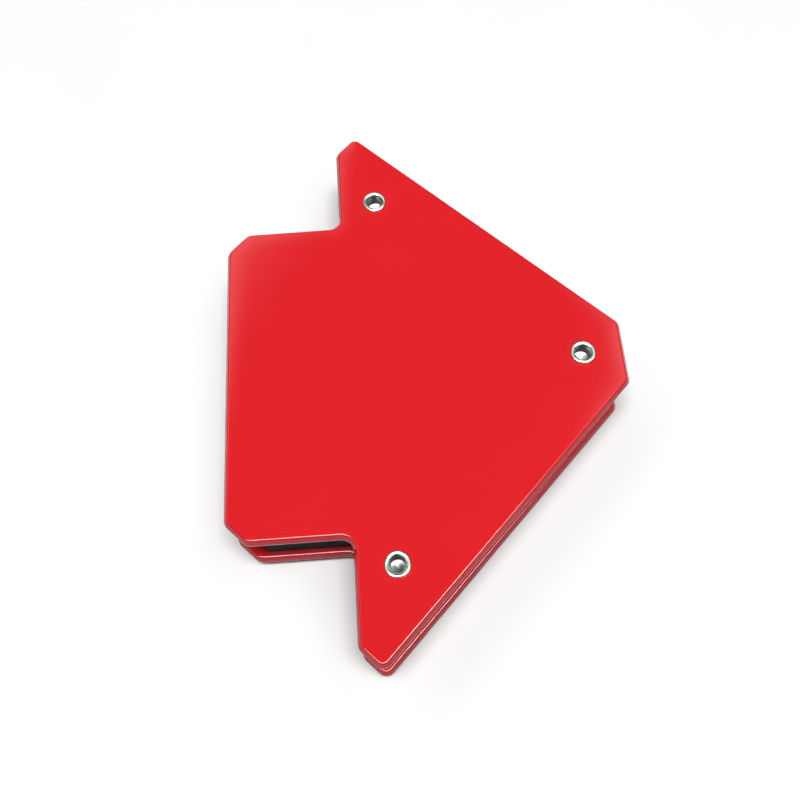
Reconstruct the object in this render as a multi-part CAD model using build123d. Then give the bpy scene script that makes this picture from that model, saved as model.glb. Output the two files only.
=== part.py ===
from build123d import *
import os
from math import asin, cos, sin

# Arrow-shaped welding magnet: two pressed steel pole plates with ferrite
# blocks clamped between them by three semi-tubular rivets and spacer tubes.
# Millimetres. The plates lie flat, +Z up, the arrow's tip points along +X
# and its wings along +Y and -Y. The origin is the bottom centre of the box.

# ---- driving dimensions ---------------------------------------------------
SLOPE = 46.2          # leading edges lie on |y| + x = SLOPE
TIP_X = 41.3          # blunt tip, from the back of the wings
STEM_X = -17.8        # end of the stem
STEM_HALF = 25.2      # half width of the stem
STEM_CHAMFER = 3.2    # 45 degree cut at the stem's two corners
WING_CUT = 39.8       # wing ends are cut on |y| - x = WING_CUT
X_SHIFT = -11.75      # moves the outline's box centre to x = 0

PLATE_T = 2.0         # plate thickness
GAP = 8.0             # distance between the plates
BEVEL_IN = 0.50       # pressed bevel round both faces of each plate: width in plan
BEVEL_DOWN = 0.84     # and depth
SHOULDER_R = 0.42     # where a face turns into its bevel
NOSE_R = 0.22         # where a bevel turns into the upright edge
R_TIP = 1.5           # plan radius of the two corners of the tip
R_WING = 1.4          # plan radius of each wing's point
R_CUT = 1.6           # plan radius where the wing cut meets the wing's back
R_NOTCH = 1.7         # inside radius of the two notches
R_STEM = 1.9          # plan radius of the stem's corners

RIVET_TIP_X = 35.05   # tip rivet, from the back of the wings
RIVET_WING_X = 5.87
RIVET_WING_Y = 29.3
SHANK_R = 1.5
HOLE_R = 1.6          # rivet hole in the plates
TUBE_R = 1.2          # hollow end of the rivet
TUBE_DEPTH = 2.45     # straight depth of the hollow, below the curled ring
CONE_DEPTH = 0.55     # drill point below it
RING_R = 1.9          # outer radius of the curled ring
RING_H = 0.45         # height of the ring above the plate
HEAD_R = 2.6          # factory head on the rear plate
HEAD_H = 0.9
HEAD_FLAT_R = 0.9     # flat middle of the head
SPACER_R = 3.0
SPACER_BORE_R = 1.65

MAGNET_T = GAP
STEM_MAGNET_W = 23.8  # across the arrow, one each side of the axis
STEM_MAGNET_L = 30.0  # along the arrow
STEM_MAGNET_X = -13.4 # rear face of the two stem magnets
TIP_MAGNET_W = 27.0
TIP_MAGNET_L = 13.0
MAGNET_GAP = 0.2      # between neighbouring magnets

# ---- levels -----------------------------------------------------------------
Z0 = HEAD_H                    # underside of the rear plate
Z1 = Z0 + PLATE_T              # inner face of the rear plate
Z2 = Z1 + GAP                  # inner face of the front plate
Z3 = Z2 + PLATE_T              # outer face of the front plate
Z_TOP = Z3 + RING_H

os.makedirs("parts", exist_ok=True)


def save(shape, name):
    shape.label = name
    export_step(shape, "parts/" + name + ".step")


# ---- the arrow outline ------------------------------------------------------
y_wing = (SLOPE + WING_CUT) / 2
x_wing = SLOPE - y_wing
half = [
    (TIP_X, SLOPE - TIP_X, R_TIP),
    (x_wing, y_wing, R_WING),
    (0.0, WING_CUT, R_CUT),
    (0.0, STEM_HALF, R_NOTCH),
    (STEM_X + STEM_CHAMFER, STEM_HALF, R_STEM),
    (STEM_X, STEM_HALF - STEM_CHAMFER, R_STEM),
]
corners = half + [(x, -y, r) for x, y, r in reversed(half)]
points = [(x + X_SHIFT, y) for x, y, r in corners]

outline = make_face(Polyline(*points, close=True))
for (x, y), (_, _, radius) in zip(points, corners):
    vertex = outline.vertices().sort_by_distance((x, y, 0))[0]
    outline = fillet(vertex, radius)

RIVETS = {
    "tip": (RIVET_TIP_X + X_SHIFT, 0.0),
    "wing_left": (RIVET_WING_X + X_SHIFT, RIVET_WING_Y),
    "wing_right": (RIVET_WING_X + X_SHIFT, -RIVET_WING_Y),
}


# ---- plates -----------------------------------------------------------------
def rim(body, z, radius):
    """Round the loop of edges that runs round the body at height z."""
    loop = [
        e for e in body.edges()
        if abs(e.center().Z - z) < 0.02 and e.bounding_box().size.Z < 0.02
    ]
    return fillet(loop, radius)


def plate(z_low):
    body = extrude(outline, PLATE_T)
    for side in (0, -1):
        face = body.faces().sort_by(Axis.Z)[side]
        body = chamfer(face.edges(), length=BEVEL_IN, length2=BEVEL_DOWN, reference=face)
    for z, radius in (
        (0.0, SHOULDER_R),
        (PLATE_T, SHOULDER_R),
        (BEVEL_DOWN, NOSE_R),
        (PLATE_T - BEVEL_DOWN, NOSE_R),
    ):
        body = rim(body, z, radius)
    for x, y in RIVETS.values():
        body -= Pos(x, y, PLATE_T / 2) * Cylinder(HOLE_R, PLATE_T * 3)
    return Pos(0, 0, z_low) * body


front_plate = plate(Z2)
rear_plate = plate(Z0)
save(front_plate, "front_plate")
save(rear_plate, "rear_plate")


# ---- rivets -----------------------------------------------------------------
def rivet(x, y):
    z_cone = Z_TOP - TUBE_DEPTH
    dome_h = HEAD_H - 0.12
    reach = HEAD_R - HEAD_FLAT_R
    dome = (reach**2 + dome_h**2) / (2 * dome_h)
    turn = asin(reach / dome)
    with BuildPart() as part:
        with BuildSketch(Plane.XZ):
            with BuildLine():
                # factory head: flat bearing face on the plate, low dome below
                Line((0, z_cone - CONE_DEPTH), (0, 0))
                Line((0, 0), (HEAD_FLAT_R, 0))
                ThreePointArc(
                    (HEAD_FLAT_R, 0),
                    (HEAD_FLAT_R + dome * sin(turn / 2), dome * (1 - cos(turn / 2))),
                    (HEAD_R, dome_h),
                )
                Line((HEAD_R, dome_h), (HEAD_R, HEAD_H))
                Line((HEAD_R, HEAD_H), (SHANK_R, HEAD_H))
                # shank, then the curled ring that clamps the front plate
                Line((SHANK_R, HEAD_H), (SHANK_R, Z3))
                Line((SHANK_R, Z3), (RING_R - 0.10, Z3))
                ThreePointArc(
                    (RING_R - 0.10, Z3),
                    (RING_R, Z3 + 0.20),
                    (RING_R - 0.25, Z_TOP),
                )
                # the mouth: a quarter turn down into the hollow
                RadiusArc((RING_R - 0.25, Z_TOP), (TUBE_R, Z3), -RING_H)
                Line((TUBE_R, Z3), (TUBE_R, z_cone))
                Line((TUBE_R, z_cone), (0, z_cone - CONE_DEPTH))
            make_face()
        revolve(axis=Axis.Z)
    return Pos(x, y, 0) * part.part


# ---- spacer tubes round the rivets, between the plates -----------------------
def spacer(x, y):
    tube = Cylinder(SPACER_R, GAP) - Cylinder(SPACER_BORE_R, GAP * 2)
    return Pos(x, y, (Z1 + Z2) / 2) * tube


for name, (x, y) in RIVETS.items():
    save(rivet(x, y), "rivet_" + name)
    save(spacer(x, y), "spacer_" + name)


# ---- ferrite blocks ---------------------------------------------------------
def magnet(length, width, x_rear, y_mid):
    block = Box(length, width, MAGNET_T)
    block = chamfer(block.edges().filter_by(Axis.Z), 0.5)
    return Pos(x_rear + X_SHIFT + length / 2, y_mid, (Z1 + Z2) / 2) * block


y_mid = (STEM_MAGNET_W + MAGNET_GAP) / 2
save(magnet(STEM_MAGNET_L, STEM_MAGNET_W, STEM_MAGNET_X, y_mid), "magnet_stem_left")
save(magnet(STEM_MAGNET_L, STEM_MAGNET_W, STEM_MAGNET_X, -y_mid), "magnet_stem_right")
save(
    magnet(TIP_MAGNET_L, TIP_MAGNET_W, STEM_MAGNET_X + STEM_MAGNET_L + MAGNET_GAP, 0.0),
    "magnet_tip",
)

box = front_plate.bounding_box()
print("plate", box.size, "centre", box.center(), "height", Z_TOP)
for name, solid in (("front", front_plate), ("rear", rear_plate)):
    print(name, "valid", solid.is_valid, "volume", round(solid.volume, 1))
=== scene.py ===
import math

import bmesh
import bpy
from mathutils import Matrix, Vector
from mathutils.geometry import delaunay_2d_cdt


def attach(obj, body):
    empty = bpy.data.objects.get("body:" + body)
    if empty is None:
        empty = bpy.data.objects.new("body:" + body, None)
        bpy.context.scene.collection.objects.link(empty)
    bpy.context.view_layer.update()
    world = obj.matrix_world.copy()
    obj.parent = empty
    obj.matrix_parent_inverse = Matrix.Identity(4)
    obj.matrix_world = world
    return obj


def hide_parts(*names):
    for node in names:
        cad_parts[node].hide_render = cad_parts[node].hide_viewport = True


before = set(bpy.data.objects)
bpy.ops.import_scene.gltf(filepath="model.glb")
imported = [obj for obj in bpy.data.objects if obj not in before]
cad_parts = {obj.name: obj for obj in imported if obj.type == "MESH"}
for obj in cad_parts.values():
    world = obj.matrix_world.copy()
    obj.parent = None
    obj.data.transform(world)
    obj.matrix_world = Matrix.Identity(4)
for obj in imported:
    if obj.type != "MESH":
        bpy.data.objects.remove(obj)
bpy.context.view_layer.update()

MM = 0.001
scene = bpy.context.scene

# ---------------------------------------------------------------------------
# sizes, in millimetres, as in the solid model
# ---------------------------------------------------------------------------
SLOPE, TIP_X, STEM_X, STEM_HALF = 46.2, 41.3, -17.8, 25.2
STEM_CHAMFER, WING_CUT, X_SHIFT = 3.2, 39.8, -11.75
PLATE_T, GAP = 2.0, 8.0
BEVEL_IN, BEVEL_DOWN, SHOULDER_R, NOSE_R = 0.50, 0.84, 0.42, 0.22
HOLE_R = 1.6
Z0 = 0.9
Z1 = Z0 + PLATE_T
Z2 = Z1 + GAP
Z3 = Z2 + PLATE_T
RIVETS = {
    "tip": (35.05 + X_SHIFT, 0.0),
    "wing_left": (5.87 + X_SHIFT, 29.3),
    "wing_right": (5.87 + X_SHIFT, -29.3),
}
SHANK_R, TUBE_R, RING_R, RING_H, HEAD_R = 1.5, 1.2, 1.9, 0.45, 2.6
TUBE_DEPTH, CONE_DEPTH = 2.45, 0.55


# ---------------------------------------------------------------------------
# the outline as a dense loop of (point, outward normal)
# ---------------------------------------------------------------------------
def outline_corners():
    y_wing = (SLOPE + WING_CUT) / 2
    x_wing = SLOPE - y_wing
    half = [
        (TIP_X, SLOPE - TIP_X, 1.5),
        (x_wing, y_wing, 1.4),
        (0.0, WING_CUT, 1.6),
        (0.0, STEM_HALF, 1.7),
        (STEM_X + STEM_CHAMFER, STEM_HALF, 1.9),
        (STEM_X, STEM_HALF - STEM_CHAMFER, 1.9),
    ]
    both = half + [(x, -y, r) for x, y, r in reversed(half)]
    return [(x + X_SHIFT, y, r) for x, y, r in both]


def outline_loop(step=0.7, arc_step=7.0):
    corners = outline_corners()
    n = len(corners)
    loop = []
    arcs = []
    for i, (x, y, r) in enumerate(corners):
        p = Vector((x, y))
        a = Vector(corners[i - 1][:2]) - p
        b = Vector(corners[(i + 1) % n][:2]) - p
        da, db = a.normalized(), b.normalized()
        half = da.angle(db) / 2
        cut = r / math.tan(half)
        centre = p + (da + db).normalized() * (r / math.sin(half))
        start, end = p + da * cut, p + db * cut
        turn = math.degrees(math.pi - 2 * half)
        # anticlockwise outline: a right turn is a hollow corner
        convex = (-da).x * db.y - (-da).y * db.x > 0
        arcs.append((centre, start, end, turn, convex, r))
    for i, (centre, start, end, turn, convex, r) in enumerate(arcs):
        steps = max(3, round(turn / arc_step))
        a0 = math.atan2(start.y - centre.y, start.x - centre.x)
        sign = 1 if convex else -1
        for k in range(steps + 1):
            a = a0 + sign * math.radians(turn) * k / steps
            out = Vector((math.cos(a), math.sin(a)))
            loop.append((centre + out * r, out * sign))
        nxt = arcs[(i + 1) % n][1]
        run = nxt - end
        count = max(1, round(run.length / step))
        normal = Vector((run.y, -run.x)).normalized()
        for k in range(1, count):
            loop.append((end + run * (k / count), normal))
    return loop


LOOP = outline_loop()
EDGES = [(LOOP[i][0], LOOP[(i + 1) % len(LOOP)][0]) for i in range(len(LOOP))]


def rim_distance(p):
    best = 1e9
    for a, b in EDGES:
        ab = b - a
        t = max(0.0, min(1.0, (p - a).dot(ab) / ab.length_squared))
        d = (a + ab * t - p).length_squared
        if d < best:
            best = d
    return math.sqrt(best)


def inside(p, edges=EDGES):
    c = False
    for a, b in edges:
        if (a.y > p.y) != (b.y > p.y):
            if p.x < (b.x - a.x) * (p.y - a.y) / (b.y - a.y) + a.x:
                c = not c
    return c


# The pressed plates fall away very slightly towards their rims before the
# shoulder begins: the slope grows to DISH at the start of the shoulder.
DISH = math.radians(2.5)
DISH_WIDTH = 3.6
BEVEL = math.atan2(BEVEL_DOWN, BEVEL_IN)
SHOULDER_IN = BEVEL_IN + SHOULDER_R * math.tan(BEVEL / 2)
ROLL_START = SHOULDER_IN


def half_profile(first):
    """(inset, depth, outward part, axial part of the normal) from a face to the upright edge."""
    rows = []
    for k in range(9):
        a = first + (BEVEL - first) * k / 8
        rows.append((SHOULDER_IN - SHOULDER_R * math.sin(a), SHOULDER_R * (1 - math.cos(a)), math.sin(a), math.cos(a)))
    low = BEVEL_DOWN + NOSE_R * math.tan((math.pi / 2 - BEVEL) / 2)
    for k in range(6):
        a = BEVEL + (math.pi / 2 - BEVEL) * k / 5
        rows.append((NOSE_R * (1 - math.sin(a)), low - NOSE_R * math.cos(a), math.sin(a), math.cos(a)))
    return rows


def dish_share(y):
    """How much of the fall is left at y: it fades out towards the right wing."""
    u = max(0.0, min(1.0, (y + 22.0) / 14.0))
    return u * u * (3 - 2 * u)


def dish_drop(d):
    """Fall below the plate's flat middle at distance d from the rim, beyond the roll."""
    if d >= ROLL_START + DISH_WIDTH:
        return 0.0
    u = 1 - (d - ROLL_START) / DISH_WIDTH
    return math.tan(DISH) * DISH_WIDTH * u ** 3 / 3


def dish_slope(d):
    if d >= ROLL_START + DISH_WIDTH:
        return 0.0
    u = 1 - (d - ROLL_START) / DISH_WIDTH
    return math.tan(DISH) * u * u


def plate_mesh(name, z_outer, z_inner):
    """One pressed plate: rolled rim, slightly dished outer face, flat inner face, three rivet holes."""
    up = 1 if z_outer > z_inner else -1
    verts, normals, faces = [], [], []

    def add(x, y, z, nx, ny, nz):
        verts.append((x * MM, y * MM, z * MM))
        normals.append(Vector((nx, ny, nz)).normalized())
        return len(verts) - 1

    # rings of the rim: the outer half starts on the fallen face, the inner half on a flat one
    rings = []
    for i, d, out, ax in half_profile(0.0):
        ring = []
        for p, n in LOOP:
            q = p - n * i
            fall = dish_share(q.y) * dish_drop(ROLL_START) * max(0.0, 1 - d / BEVEL_DOWN)
            ring.append(add(q.x, q.y, z_outer - up * (fall + d), n.x * out, n.y * out, up * ax))
        rings.append(ring)
    for i, d, out, ax in reversed(half_profile(0.0)):
        rings.append([add(p.x - n.x * i, p.y - n.y * i, z_inner + up * d, n.x * out, n.y * out, -up * ax) for p, n in LOOP])
    # the first ring lies on the face, so its normals lean with the fall
    for k, (p, n) in zip(rings[0], LOOP):
        lean = dish_share(p.y) * dish_slope(ROLL_START)
        normals[k] = Vector((n.x * lean, n.y * lean, up)).normalized()
    count = len(LOOP)
    for r0, r1 in zip(rings, rings[1:]):
        for i in range(count):
            j = (i + 1) % count
            faces.append((r0[i], r1[i], r1[j], r0[j]) if up > 0 else (r0[j], r1[j], r1[i], r0[i]))

    # the two faces, each a constrained triangulation with the rivet holes left out
    def cap(ring, outer):
        facing = up if outer else -up
        pts = [Vector((verts[i][0] / MM, verts[i][1] / MM)) for i in ring]
        ids = list(ring)
        edges = [(i, (i + 1) % count) for i in range(count)]
        holes = []
        for cx, cy in RIVETS.values():
            first = len(pts)
            for k in range(40):
                a = 2 * math.pi * k / 40
                q = Vector((cx + HOLE_R * math.cos(a), cy + HOLE_R * math.sin(a)))
                pts.append(q)
                ids.append(None)
            edges += [(first + k, first + (k + 1) % 40) for k in range(40)]
            holes.append(list(range(first, first + 40)))
        start = pts[0].copy()
        grid = []
        if outer:
            for d in (0.35, 0.8, 1.3, 1.9, 2.6, 3.4):
                for i, (p, n) in enumerate(LOOP):
                    if (i + int(d * 10)) % 2:
                        continue
                    q = p - n * (ROLL_START + d)
                    if inside(q) and rim_distance(q) > ROLL_START + d - 0.02:
                        grid.append((q, ROLL_START + d))
        step = 2.2
        x = -31.0
        row = 0
        while x < 31.0:
            y = -44.0 + (step / 2 if row % 2 else 0)
            while y < 44.0:
                q = Vector((x, y))
                if inside(q) and rim_distance(q) > (5.2 if outer else 2.0):
                    grid.append((q, None))
                y += step
            x += step * 0.87
            row += 1
        for q, d in grid:
            if all((q - Vector(c)).length > HOLE_R + 0.35 for c in RIVETS.values()):
                pts.append(q)
                ids.append(None)
        out = delaunay_2d_cdt(pts, edges, [], 0, 1e-6)
        v2, f2, orig = out[0], out[2], out[3]
        new_ids = []
        for q, o in zip(v2, orig):
            keep = next((ids[k] for k in o if ids[k] is not None), None)
            if keep is None:
                if outer:
                    d = rim_distance(q)
                    h = dish_share(q.y) * dish_drop(d)
                    s = dish_share(q.y) * dish_slope(d)
                    g = Vector((0.0, 0.0))
                    if s > 0:
                        e = 0.05
                        g = Vector((rim_distance(q + Vector((e, 0))) - rim_distance(q - Vector((e, 0))),
                                    rim_distance(q + Vector((0, e))) - rim_distance(q - Vector((0, e))))) / (2 * e)
                        if g.length > 1e-6:
                            g = g.normalized()
                    keep = add(q.x, q.y, z_outer - up * h, -g.x * s, -g.y * s, facing)
                else:
                    keep = add(q.x, q.y, z_inner, 0, 0, facing)
            new_ids.append(keep)
        back = {}
        for k, o in enumerate(orig):
            for m in o:
                back[m] = k
        centres = [Vector(c) for c in RIVETS.values()]
        ring_edges = [(pts[i], pts[(i + 1) % count]) for i in range(count)]
        for tri in f2:
            mid = sum((v2[k] for k in tri), Vector((0, 0))) / len(tri)
            if any((mid - c).length < HOLE_R * 0.98 for c in centres) or not inside(mid, ring_edges):
                continue
            # nor slivers between a chord and a hole's edge, or along a straight side
            if all(any(abs((v2[k] - c).length - HOLE_R) < 1e-3 for c in centres) for k in tri):
                continue
            a, b, c = [new_ids[k] for k in tri[:3]]
            pa, pb, pc = v2[tri[0]], v2[tri[1]], v2[tri[2]]
            turn = (pb - pa).cross(pc - pa)
            if abs(turn) < 1e-4 * max((pb - pa).length, (pc - pb).length, (pa - pc).length):
                continue
            ccw = turn > 0
            face = (a, b, c) if ccw == (facing > 0) else (a, c, b)
            faces.append(face)
        return [[new_ids[back[k]] for k in h] for h in holes]

    rim_outer = cap(rings[0], True)
    rim_inner = cap(rings[-1], False)
    for ho, hi, (cx, cy) in zip(rim_outer, rim_inner, RIVETS.values()):
        wall_o = [add(verts[v][0] / MM, verts[v][1] / MM, verts[v][2] / MM, cx - verts[v][0] / MM, cy - verts[v][1] / MM, 0) for v in ho]
        wall_i = [add(verts[v][0] / MM, verts[v][1] / MM, verts[v][2] / MM, cx - verts[v][0] / MM, cy - verts[v][1] / MM, 0) for v in hi]
        for k in range(40):
            m = (k + 1) % 40
            faces.append((wall_o[k], wall_o[m], wall_i[m], wall_i[k]) if up > 0 else (wall_o[m], wall_o[k], wall_i[k], wall_i[m]))

    mesh = bpy.data.meshes.new(name)
    mesh.from_pydata(verts, [], faces)
    mesh.update()
    mesh.polygons.foreach_set("use_smooth", [True] * len(mesh.polygons))
    mesh.normals_split_custom_set_from_vertices([tuple(n) for n in normals])
    obj = bpy.data.objects.new(name, mesh)
    scene.collection.objects.link(obj)
    return obj


# ---------------------------------------------------------------------------
# node helpers
# ---------------------------------------------------------------------------
class Nodes:
    def __init__(self, name):
        self.mat = bpy.data.materials.new(name)
        self.mat.use_nodes = True
        self.tree = self.mat.node_tree
        self.bsdf = self.tree.nodes["Principled BSDF"]
        self.coord = self.tree.nodes.new("ShaderNodeTexCoord")

    def new(self, kind, **values):
        node = self.tree.nodes.new(kind)
        for k, v in values.items():
            if hasattr(node, k):
                setattr(node, k, v)
            else:
                node.inputs[k.replace("_", " ")].default_value = v
        return node

    def link(self, a, b):
        self.tree.links.new(a, b)

    def noise(self, scale, detail=2.0, rough=0.5, vector=None):
        node = self.tree.nodes.new("ShaderNodeTexNoise")
        node.inputs["Scale"].default_value = scale
        node.inputs["Detail"].default_value = detail
        node.inputs["Roughness"].default_value = rough
        self.link(vector or self.coord.outputs["Object"], node.inputs["Vector"])
        return node.outputs["Fac"]

    def ramp(self, fac, stops):
        node = self.tree.nodes.new("ShaderNodeValToRGB")
        els = node.color_ramp.elements
        while len(els) < len(stops):
            els.new(0.5)
        for el, (pos, col) in zip(els, stops):
            el.position = pos
            el.color = (*col, 1.0) if len(col) == 3 else col
        self.link(fac, node.inputs["Fac"])
        return node.outputs["Color"]

    def range(self, fac, a, b, c, d):
        node = self.tree.nodes.new("ShaderNodeMapRange")
        for i, v in zip(("From Min", "From Max", "To Min", "To Max"), (a, b, c, d)):
            node.inputs[i].default_value = v
        self.link(fac, node.inputs["Value"])
        return node.outputs["Result"]

    def mix(self, fac, a, b):
        node = self.tree.nodes.new("ShaderNodeMix")
        node.data_type = "RGBA"
        self.link(fac, node.inputs["Factor"])
        for socket, v in ((node.inputs["A"], a), (node.inputs["B"], b)):
            pass
        ins = [s for s in node.inputs if s.type == "RGBA"]
        for s, v in zip(ins, (a, b)):
            if isinstance(v, tuple):
                s.default_value = (*v, 1.0)
            else:
                self.link(v, s)
        return [s for s in node.outputs if s.type == "RGBA"][0]

    def math(self, op, a, b=None):
        node = self.tree.nodes.new("ShaderNodeMath")
        node.operation = op
        for s, v in zip(node.inputs, (a, b)):
            if v is None:
                continue
            if isinstance(v, (int, float)):
                s.default_value = v
            else:
                self.link(v, s)
        return node.outputs[0]

    def bump(self, height, strength, distance):
        node = self.tree.nodes.new("ShaderNodeBump")
        node.inputs["Strength"].default_value = strength
        node.inputs["Distance"].default_value = distance
        self.link(height, node.inputs["Height"])
        return node

    def set(self, **values):
        for k, v in values.items():
            self.bsdf.inputs[k.replace("_", " ")].default_value = v


def red_paint():
    n = Nodes("red_powder_coat")
    wide = n.noise(45.0, 3.0, 0.55)
    tone = n.ramp(wide, [(0.30, (0.494, 0.0140, 0.0190)), (0.70, (0.524, 0.0156, 0.0212))])
    # sparse pale specks: dust nibs in the coat
    cells = n.tree.nodes.new("ShaderNodeTexVoronoi")
    cells.inputs["Scale"].default_value = 95.0
    cells.inputs["Randomness"].default_value = 1.0
    n.link(n.coord.outputs["Object"], cells.inputs["Vector"])
    near = n.math("LESS_THAN", cells.outputs["Distance"], 0.045)
    pick = n.tree.nodes.new("ShaderNodeSeparateColor")
    n.link(cells.outputs["Color"], pick.inputs["Color"])
    rare = n.math("GREATER_THAN", pick.outputs["Red"], 0.93)
    nib = n.math("MULTIPLY", near, rare)
    # painted shade: the sloping and upright sides of the pressed edge are painted a darker red than the faces
    edge_shade_normal = n.tree.nodes.new("ShaderNodeSeparateXYZ")
    n.link(n.coord.outputs["Normal"], edge_shade_normal.inputs["Vector"])
    edge = n.range(n.math("ABSOLUTE", edge_shade_normal.outputs["Z"]), 0.62, 0.92, 1.0, 0.0)
    # deep is the darker red that paints this shade on the edge
    deep = n.ramp(wide, [(0.30, (0.400, 0.0110, 0.0190)), (0.70, (0.428, 0.0126, 0.0216))])
    colour = n.mix(nib, n.mix(edge, tone, deep), (0.62, 0.09, 0.09))
    n.link(colour, n.bsdf.inputs["Base Color"])
    peel = n.noise(900.0, 2.0, 0.5)
    fine = n.noise(4200.0, 2.0, 0.5)
    rough = n.range(fine, 0.3, 0.7, 0.27, 0.34)
    n.link(rough, n.bsdf.inputs["Roughness"])
    bump = n.bump(peel, 0.10, 0.00012)
    n.link(bump.outputs["Normal"], n.bsdf.inputs["Normal"])
    n.set(IOR=1.5, Coat_Weight=1.0, Coat_Roughness=0.09, Coat_IOR=1.5, Specular_IOR_Level=0.04)
    return n.mat


def zinc(name="bright_zinc"):
    n = Nodes(name)
    cloud = n.noise(700.0, 4.0, 0.6)
    tint = n.ramp(cloud, [(0.30, (0.66, 0.66, 0.58)), (0.55, (0.82, 0.81, 0.72)), (0.75, (0.88, 0.87, 0.80))])
    # painted shade: below the ring's top the zinc is painted dark, in the seam under the ring and inside the hollow,
    # partly a greenish chromate tone; the hollow's floor is painted lighter, in blotches
    place = n.tree.nodes.new("ShaderNodeSeparateXYZ")
    n.link(n.coord.outputs["Object"], place.inputs["Vector"])
    high = n.range(place.outputs["Z"], (Z3 + 0.02) * MM, (Z3 + 0.20) * MM, 0.0, 1.0)
    low = n.math("LESS_THAN", place.outputs["Z"], (Z0 + 0.2) * MM)
    unshaded_zinc_mask = n.math("MAXIMUM", high, low)
    # wall is the dark greenish zinc that paints shade in the hollow and in the seam under the ring
    wall = n.ramp(cloud, [(0.30, (0.170, 0.200, 0.190)), (0.70, (0.330, 0.360, 0.340))])
    bottom = n.ramp(cloud, [(0.34, (0.170, 0.195, 0.188)), (0.62, (0.620, 0.640, 0.630))])
    floor_z = Z3 + RING_H - TUBE_DEPTH
    deep = n.range(place.outputs["Z"], floor_z * MM, (floor_z + 0.15) * MM, 1.0, 0.0)
    n.link(n.mix(unshaded_zinc_mask, n.mix(deep, wall, bottom), tint), n.bsdf.inputs["Base Color"])
    fine = n.noise(5200.0, 3.0, 0.6)
    n.link(n.range(fine, 0.3, 0.7, 0.26, 0.42), n.bsdf.inputs["Roughness"])
    bump = n.bump(n.noise(1900.0, 3.0, 0.6), 0.22, 0.00006)
    n.link(bump.outputs["Normal"], n.bsdf.inputs["Normal"])
    n.set(Metallic=1.0)
    return n.mat


def turned_steel():
    n = Nodes("turned_steel")
    wave = n.tree.nodes.new("ShaderNodeTexWave")
    wave.wave_type = "BANDS"
    wave.bands_direction = "Z"
    wave.inputs["Scale"].default_value = 3200.0
    wave.inputs["Distortion"].default_value = 1.5
    n.link(n.coord.outputs["Object"], wave.inputs["Vector"])
    tint = n.ramp(wave.outputs["Fac"], [(0.0, (0.41, 0.41, 0.42)), (1.0, (0.47, 0.47, 0.48))])
    n.link(tint, n.bsdf.inputs["Base Color"])
    n.link(n.range(n.noise(2500.0, 2.0), 0.3, 0.7, 0.30, 0.45), n.bsdf.inputs["Roughness"])
    bump = n.bump(wave.outputs["Fac"], 0.15, 0.00001)
    n.link(bump.outputs["Normal"], n.bsdf.inputs["Normal"])
    n.set(Metallic=1.0)
    return n.mat


def ferrite():
    n = Nodes("sintered_ferrite")
    grain = n.noise(2600.0, 4.0, 0.65)
    tint = n.ramp(grain, [(0.3, (0.006, 0.006, 0.0065)), (0.7, (0.016, 0.016, 0.017))])
    n.link(tint, n.bsdf.inputs["Base Color"])
    n.link(n.range(n.noise(600.0, 2.0), 0.3, 0.7, 0.62, 0.82), n.bsdf.inputs["Roughness"])
    bump = n.bump(grain, 0.35, 0.00008)
    n.link(bump.outputs["Normal"], n.bsdf.inputs["Normal"])
    n.set(Specular_IOR_Level=0.12)
    return n.mat


RED, ZINC, STEEL, FERRITE = red_paint(), zinc(), turned_steel(), ferrite()


def paint(obj, mat):
    obj.data.materials.clear()
    obj.data.materials.append(mat)


# ---------------------------------------------------------------------------
# plates
# ---------------------------------------------------------------------------
front = plate_mesh("front_plate_pressed", Z3, Z2)
rear = plate_mesh("rear_plate_pressed", Z0, Z1)
for obj, node in ((front, "front_plate"), (rear, "rear_plate")):
    paint(obj, RED)
    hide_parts(node)
    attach(obj, "root")


# ---------------------------------------------------------------------------
# rivets: the hollow end curled over the front plate, the head on the rear
# ---------------------------------------------------------------------------
def smooth_curve(points, count):
    """Catmull-Rom through the points, sampled evenly by index."""
    pts = [Vector(p) for p in points]
    out = []
    for i in range(len(pts) - 1):
        p0, p1, p2, p3 = pts[max(i - 1, 0)], pts[i], pts[i + 1], pts[min(i + 2, len(pts) - 1)]
        for k in range(count):
            t = k / count
            out.append(0.5 * ((2 * p1) + (p2 - p0) * t + (2 * p0 - 5 * p1 + 4 * p2 - p3) * t * t + (3 * p1 - p0 - 3 * p2 + p3) * t ** 3))
    out.append(pts[-1])
    return out


def wobble(a, seed, terms):
    return sum(amp * math.sin(k * a + seed * (1.7 + k) + k * k) for k, amp in terms)


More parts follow.
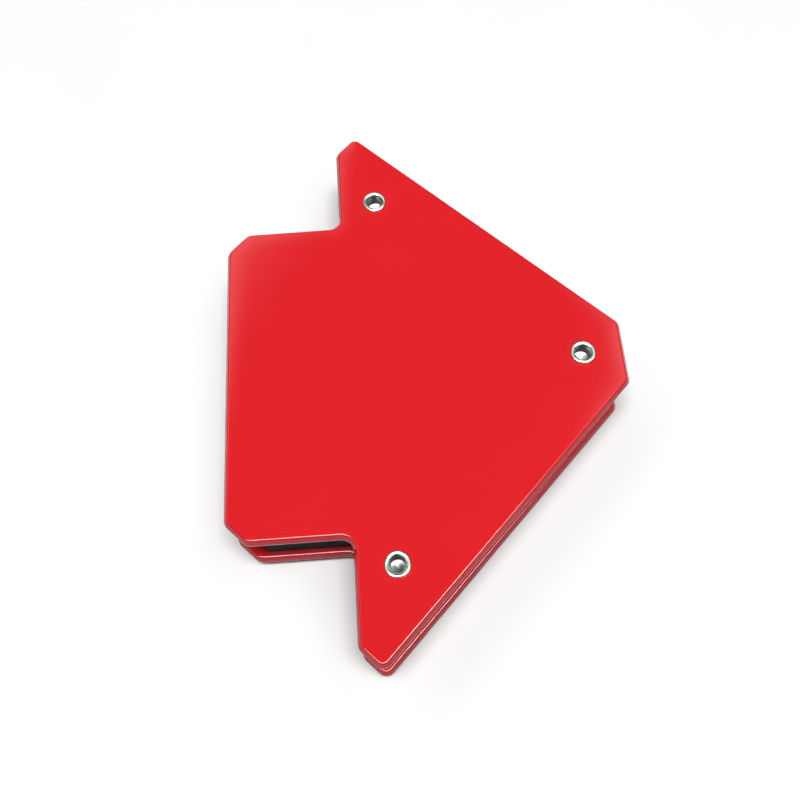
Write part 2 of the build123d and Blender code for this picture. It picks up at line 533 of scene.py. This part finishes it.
def rivet_mesh(name, cx, cy, seed):
    z_top = Z3 + RING_H
    z_cone = z_top - TUBE_DEPTH
    segs = 96
    curl = smooth_curve(
        [(SHANK_R, Z3 - 0.25), (SHANK_R + 0.02, Z3 + 0.01), (RING_R - 0.16, Z3 + 0.02), (RING_R, Z3 + 0.14), (RING_R - 0.06, Z3 + 0.32),
         (RING_R - 0.26, z_top - 0.01), (TUBE_R + 0.26, z_top - 0.05), (TUBE_R + 0.08, z_top - 0.20), (TUBE_R, z_top - 0.45)], 5)
    well = [Vector((TUBE_R, z_top - 0.45 - (TUBE_DEPTH - 0.45) * k / 6)) for k in range(1, 6)]
    well += smooth_curve([(TUBE_R, z_cone + 0.12), (TUBE_R - 0.10, z_cone), (0.62, z_cone - CONE_DEPTH * 0.48), (0.12, z_cone - CONE_DEPTH * 0.93), (0.0, z_cone - CONE_DEPTH)], 4)[:-1]
    head = smooth_curve([(0.05, 0.0), (0.9, 0.0), (1.55, 0.07), (2.15, 0.27), (2.52, 0.60), (2.58, 0.82), (2.45, Z0 + 0.02), (SHANK_R, Z0 + 0.02)], 6)
    prof = [*head, Vector((SHANK_R, Z0 + 0.6)), Vector((SHANK_R, Z0 + 4)), Vector((SHANK_R, Z3 - 1.2)), *curl, *well]
    verts, faces = [], []
    for p in prof:
        ring_zone = max(0.0, min(1.0, (p.y - Z3 + 0.02) / 0.2)) * max(0.0, min(1.0, (p.x - TUBE_R) / 0.3))
        lip = max(0.0, min(1.0, (p.y - (z_top - 0.6)) / 0.3))
        for k in range(segs):
            a = 2 * math.pi * k / segs
            out_zone = max(0.0, min(1.0, (p.x - 1.55) / 0.3)) * ring_zone
            r = p.x + out_zone * wobble(a, seed, ((2, 0.022), (3, 0.018), (5, 0.014), (9, 0.008))) - out_zone * 0.03
            r += lip * (1 - out_zone) * wobble(a, seed + 3, ((2, 0.02), (4, 0.012), (7, 0.008)))
            z = p.y + ring_zone * (wobble(a, seed + 5, ((2, 0.012), (3, 0.010), (6, 0.006))) - 0.025)
            verts.append(((cx + r * math.cos(a)) * MM, (cy + r * math.sin(a)) * MM, max(z, 0.0) * MM))
    rows = len(prof)
    for i in range(rows - 1):
        for k in range(segs):
            m = (k + 1) % segs
            faces.append((i * segs + k, i * segs + m, (i + 1) * segs + m, (i + 1) * segs + k))
    low, high = len(verts), len(verts) + 1
    verts += [(cx * MM, cy * MM, 0.0), (cx * MM, cy * MM, (z_cone - CONE_DEPTH) * MM)]
    for k in range(segs):
        m = (k + 1) % segs
        faces.append((low, m, k))
        faces.append((high, (rows - 1) * segs + k, (rows - 1) * segs + m))
    mesh = bpy.data.meshes.new(name)
    mesh.from_pydata(verts, [], faces)
    mesh.update()
    mesh.polygons.foreach_set("use_smooth", [True] * len(mesh.polygons))
    obj = bpy.data.objects.new(name, mesh)
    scene.collection.objects.link(obj)
    return obj


for i, (key, (x, y)) in enumerate(RIVETS.items()):
    obj = rivet_mesh("rivet_" + key + "_set", x, y, 1.3 + 2.1 * i)
    paint(obj, ZINC)
    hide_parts("rivet_" + key)
    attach(obj, "root")

for node in ("spacer_tip", "spacer_wing_left", "spacer_wing_right"):
    paint(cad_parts[node], STEEL)
for node in ("magnet_stem_left", "magnet_stem_right", "magnet_tip"):
    paint(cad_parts[node], FERRITE)


# ---------------------------------------------------------------------------
# floor, light, camera
# ---------------------------------------------------------------------------
ROOM_BASE, ROOM_LEFT, ROOM_RIGHT = 0.04, 2.00, 2.10
KEY_POWER = 12.55
STRIP_POWER = 45.0
FLOOR = 0.645


def floor():
    n = Nodes("pale_floor")
    tint = n.ramp(n.noise(30.0, 3.0), [(0.3, (FLOOR - 0.006,) * 3), (0.7, (FLOOR + 0.006,) * 3)])
    # the sheet looks pale to its end, but throws less light at the object:
    # its far part counts as a dim room in reflections, and its bounce is weak
    reach = n.tree.nodes.new("ShaderNodeVectorMath")
    reach.operation = "LENGTH"
    n.link(n.coord.outputs["Object"], reach.inputs[0])
    path = n.tree.nodes.new("ShaderNodeLightPath")
    far = n.math("MULTIPLY", n.range(reach.outputs["Value"], 0.10, 0.26, 0.0, 1.0), path.outputs["Is Glossy Ray"])
    dim = n.math("MAXIMUM", n.math("MULTIPLY", far, 0.85), n.math("MULTIPLY", path.outputs["Is Diffuse Ray"], 0.62))
    n.link(n.mix(dim, tint, (0.06, 0.06, 0.06)), n.bsdf.inputs["Base Color"])
    n.set(Roughness=0.85, Specular_IOR_Level=0.1)
    mesh = bpy.data.meshes.new("floor")
    s = 3.0
    mesh.from_pydata([(-s, -s, 0), (s, -s, 0), (s, s, 0), (-s, s, 0)], [], [(0, 1, 2, 3)])
    obj = bpy.data.objects.new("floor", mesh)
    scene.collection.objects.link(obj)
    paint(obj, n.mat)


floor()

world = bpy.data.worlds.new("studio")
scene.world = world
world.use_nodes = True
wt = world.node_tree
bg = wt.nodes["Background"]
tc = wt.nodes.new("ShaderNodeTexCoord")
sep = wt.nodes.new("ShaderNodeSeparateXYZ")
wt.links.new(tc.outputs["Generated"], sep.inputs["Vector"])


def world_ramp(socket, lo, hi, out):
    node = wt.nodes.new("ShaderNodeMapRange")
    node.interpolation_type = "SMOOTHSTEP"
    for name, v in zip(("From Min", "From Max", "To Min", "To Max"), (lo, hi, 0.0, out)):
        node.inputs[name].default_value = v
    wt.links.new(socket, node.inputs["Value"])
    return node.outputs["Result"]


def world_math(op, a, b):
    node = wt.nodes.new("ShaderNodeMath")
    node.operation = op
    for s, v in zip(node.inputs, (a, b)):
        if isinstance(v, (int, float)):
            s.default_value = v
        else:
            wt.links.new(v, s)
    return node.outputs[0]


# the room: dim, with a lighter wall behind on the left and another on the right
toward = world_math("ADD", world_math("MULTIPLY", sep.outputs["X"], -0.75), world_math("MULTIPLY", sep.outputs["Y"], 0.66))
left = world_math("MULTIPLY", world_ramp(toward, 0.43, 0.57, ROOM_LEFT), world_ramp(sep.outputs["Z"], 0.54, 0.70, 1.0))
right_side = world_math("MULTIPLY", world_ramp(sep.outputs["X"], 0.21, 0.37, ROOM_RIGHT), world_ramp(sep.outputs["Z"], 0.66, 0.84, 1.0))
level = world_math("ADD", world_math("ADD", left, right_side), ROOM_BASE)
seen = wt.nodes.new("ShaderNodeLightPath")
shown = wt.nodes.new("ShaderNodeMapRange")
wt.links.new(seen.outputs["Is Camera Ray"], shown.inputs["Value"])
wt.links.new(level, shown.inputs["To Min"])
shown.inputs["To Max"].default_value = 0.88
wt.links.new(shown.outputs["Result"], bg.inputs["Strength"])
bg.inputs["Color"].default_value = (1.0, 1.0, 1.0, 1.0)


def area(name, place, target, size, size_y, power, colour=(1, 1, 1)):
    data = bpy.data.lights.new(name, "AREA")
    data.shape = "RECTANGLE"
    data.size, data.size_y = size, size_y
    data.energy = power
    data.color = colour
    obj = bpy.data.objects.new(name, data)
    scene.collection.objects.link(obj)
    obj.location = place
    obj.rotation_euler = (Vector(target) - Vector(place)).to_track_quat("-Z", "Y").to_euler()
    return obj


# The overhead key lights the object without mirroring in it; the strip in front
# of it is what the gloss mirrors.
key = area("key", (0.0, -0.105, 1.0), (0, 0, 0), 0.57, 0.18, KEY_POWER)
key.visible_glossy = False
strip = area("strip", (0.06, -0.52, 1.0), (0, 0, 0), 1.75, 0.40, STRIP_POWER)
strip.visible_diffuse = False

cam_data = bpy.data.cameras.new("camera")
cam_data.sensor_width = 36.0
cam_data.lens = 38.47
cam_data.clip_start = 0.01
cam = bpy.data.objects.new("camera", cam_data)
scene.collection.objects.link(cam)
right = Vector((0.997451946, -0.065361609, -0.028591515))
down = Vector((-0.071340124, -0.916347691, -0.393976518))
ahead = Vector((-0.000448830, 0.395012367, -0.918675693))
ahead = (ahead - right * (0.5 / 852.8) - down * (0.1 / 852.8)).normalized()
right = (right - ahead * right.dot(ahead)).normalized()
down = ahead.cross(right)
m = Matrix((right, -down, -ahead)).transposed().to_4x4()
m.translation = Vector((-0.003907, -0.054325, 0.126449))
cam.matrix_world = m
scene.camera = cam

scene.view_settings.view_transform = "Standard"
scene.view_settings.look = "None"
scene.view_settings.gamma = 0.9
